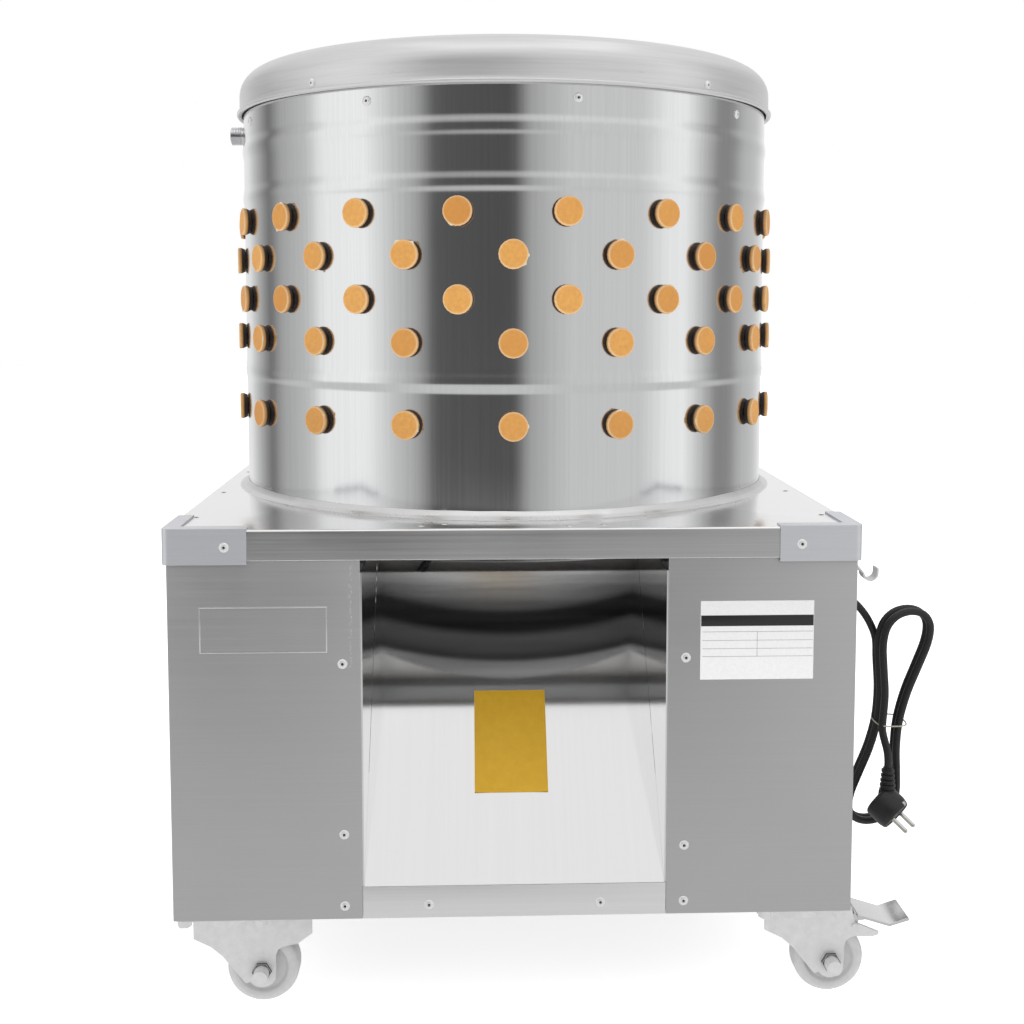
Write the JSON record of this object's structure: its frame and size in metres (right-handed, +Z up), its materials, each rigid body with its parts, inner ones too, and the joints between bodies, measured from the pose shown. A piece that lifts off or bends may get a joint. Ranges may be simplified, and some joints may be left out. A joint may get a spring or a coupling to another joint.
{
  "type": "poultry plucker",
  "caption": "Steel drum lined with rubber fingers on a sheet cabinet with casters; a spinning fingered plate strips feathers, which slide out through a chute at the front.",
  "frame": {"origin": "on the floor under the drum's axis", "axes": "+Z up along the drum's axis, +X to the right of a person facing the chute, -Y to the front"},
  "size_m": [0.8418, 0.7046, 0.9425],
  "materials": {
    "sheet_steel": "satin",
    "polished_steel": "polished",
    "zinc_steel": "zinc plated",
    "frame_paint": "satin",
    "rivet_aluminium": "satin",
    "finger_rubber": "matte",
    "cast_iron": "matte",
    "motor_paint": "satin",
    "black_plastic": "matte",
    "black_rubber": "matte",
    "grey_plastic": "matte",
    "green_plastic": "gloss",
    "red_plastic": "gloss",
    "wheel_plastic": "satin",
    "cord_rubber": "satin",
    "tie_plastic": "matte"
  },
  "bodies": {
    "cabinet": {"top_plate": "sheet_steel", "corner_caps": "zinc_steel", "front_panel_left": "sheet_steel", "front_panel_right": "sheet_steel", "side_panel_left": "sheet_steel", "side_panel_right": "sheet_steel", "back_panel": "sheet_steel", "sill_rail": "sheet_steel", "chute_sheet": "polished_steel", "chute_wall_left": "polished_steel", "chute_wall_right": "polished_steel", "catch_pan": "sheet_steel", "frame_posts": "frame_paint", "base_rails": "frame_paint", "frame_rails": "frame_paint", "pop_rivets": "rivet_aluminium", "drum": "polished_steel", "rim_ring": "polished_steel", "wall_fingers_1": "finger_rubber", "wall_fingers_2": "finger_rubber", "wall_fingers_3": "finger_rubber", "wall_fingers_4": "finger_rubber", "wall_fingers_5": "finger_rubber", "spray_ring": "polished_steel", "spray_clips": "polished_steel", "inlet_nipple": "zinc_steel", "bearing_bridge": "frame_paint", "bearing_housing": "cast_iron", "motor_body": "motor_paint", "motor_cover": "black_plastic", "motor_plate": "frame_paint", "drive_belt": "black_rubber", "cable_gland": "black_plastic", "cable_hook": "zinc_steel", "switch_box": "grey_plastic", "caster_plates": "zinc_steel", "cord_lead": "cord_rubber", "cord_hank": "cord_rubber", "cord_tie": "tie_plastic", "plug": "cord_rubber"},
    "rotor": {"feather_plate": "polished_steel", "plate_fingers": "finger_rubber", "sweepers": "black_rubber", "main_shaft": "zinc_steel", "hub_cap": "polished_steel", "driven_pulley": "cast_iron"},
    "motor_rotor": {"motor_shaft": "zinc_steel", "motor_pulley": "cast_iron"},
    "caster_front_left": {"fork_front_left": "zinc_steel"},
    "roller_front_left": {"wheel_front_left": "wheel_plastic"},
    "caster_front_right": {"fork_front_right": "zinc_steel"},
    "roller_front_right": {"wheel_front_right": "wheel_plastic"},
    "caster_rear_left": {"fork_rear_left": "zinc_steel"},
    "roller_rear_left": {"wheel_rear_left": "wheel_plastic"},
    "caster_rear_right": {"fork_rear_right": "zinc_steel"},
    "roller_rear_right": {"wheel_rear_right": "wheel_plastic"},
    "brake_front_right": {"pedal_front_right": "zinc_steel"},
    "brake_rear_left": {"pedal_rear_left": "zinc_steel"},
    "start": {"start_button": "green_plastic"},
    "stop": {"stop_button": "red_plastic"}
  },
  "joints": [
    {"name": "rotor_spin", "type": "hinge", "parent": "cabinet", "child": "rotor", "pos_m": [0, 0, 0.3], "axis": [0, 0, 1], "continuous": true},
    {"name": "motor_spin", "type": "hinge", "parent": "cabinet", "child": "motor_rotor", "pos_m": [0, 0.215, 0.2], "axis": [0, 0, 1], "continuous": true},
    {"name": "swivel_front_left", "type": "hinge", "parent": "cabinet", "child": "caster_front_left", "pos_m": [-0.28, -0.3, 0.09], "axis": [0, 0, 1], "continuous": true},
    {"name": "roll_front_left", "type": "hinge", "parent": "caster_front_left", "child": "roller_front_left", "pos_m": [-0.246, -0.3, 0.035], "axis": [0, 1, 0], "continuous": true},
    {"name": "swivel_front_right", "type": "hinge", "parent": "cabinet", "child": "caster_front_right", "pos_m": [0.28, -0.3, 0.09], "axis": [0, 0, 1], "continuous": true},
    {"name": "roll_front_right", "type": "hinge", "parent": "caster_front_right", "child": "roller_front_right", "pos_m": [0.314, -0.3, 0.035], "axis": [0, 1, 0], "continuous": true},
    {"name": "swivel_rear_left", "type": "hinge", "parent": "cabinet", "child": "caster_rear_left", "pos_m": [-0.28, 0.3, 0.09], "axis": [0, 0, 1], "continuous": true},
    {"name": "roll_rear_left", "type": "hinge", "parent": "caster_rear_left", "child": "roller_rear_left", "pos_m": [-0.314, 0.3, 0.035], "axis": [0, 1, 0], "continuous": true},
    {"name": "swivel_rear_right", "type": "hinge", "parent": "cabinet", "child": "caster_rear_right", "pos_m": [0.28, 0.3, 0.09], "axis": [0, 0, 1], "continuous": true},
    {"name": "roll_rear_right", "type": "hinge", "parent": "caster_rear_right", "child": "roller_rear_right", "pos_m": [0.314, 0.3, 0.035], "axis": [0, 1, 0], "continuous": true},
    {"name": "press_front_right", "type": "hinge", "parent": "caster_front_right", "child": "brake_front_right", "pos_m": [0.337, -0.3, 0.071], "axis": [0, 1, 0], "range_deg": [0, 8]},
    {"name": "press_rear_left", "type": "hinge", "parent": "caster_rear_left", "child": "brake_rear_left", "pos_m": [-0.337, 0.3, 0.071], "axis": [0, -1, 0], "range_deg": [0, 8]},
    {"name": "start_press", "type": "slide", "parent": "cabinet", "child": "start", "axis": [-1, 0, 0], "range_m": [0, 0.004], "stiffness_N_per_m": 300},
    {"name": "stop_press", "type": "slide", "parent": "cabinet", "child": "stop", "axis": [-1, 0, 0], "range_m": [0, 0.004], "stiffness_N_per_m": 300}
  ],
  "couplings": [
    {"joint": "motor_spin", "follows": "rotor_spin", "ratio": 6}
  ]
}
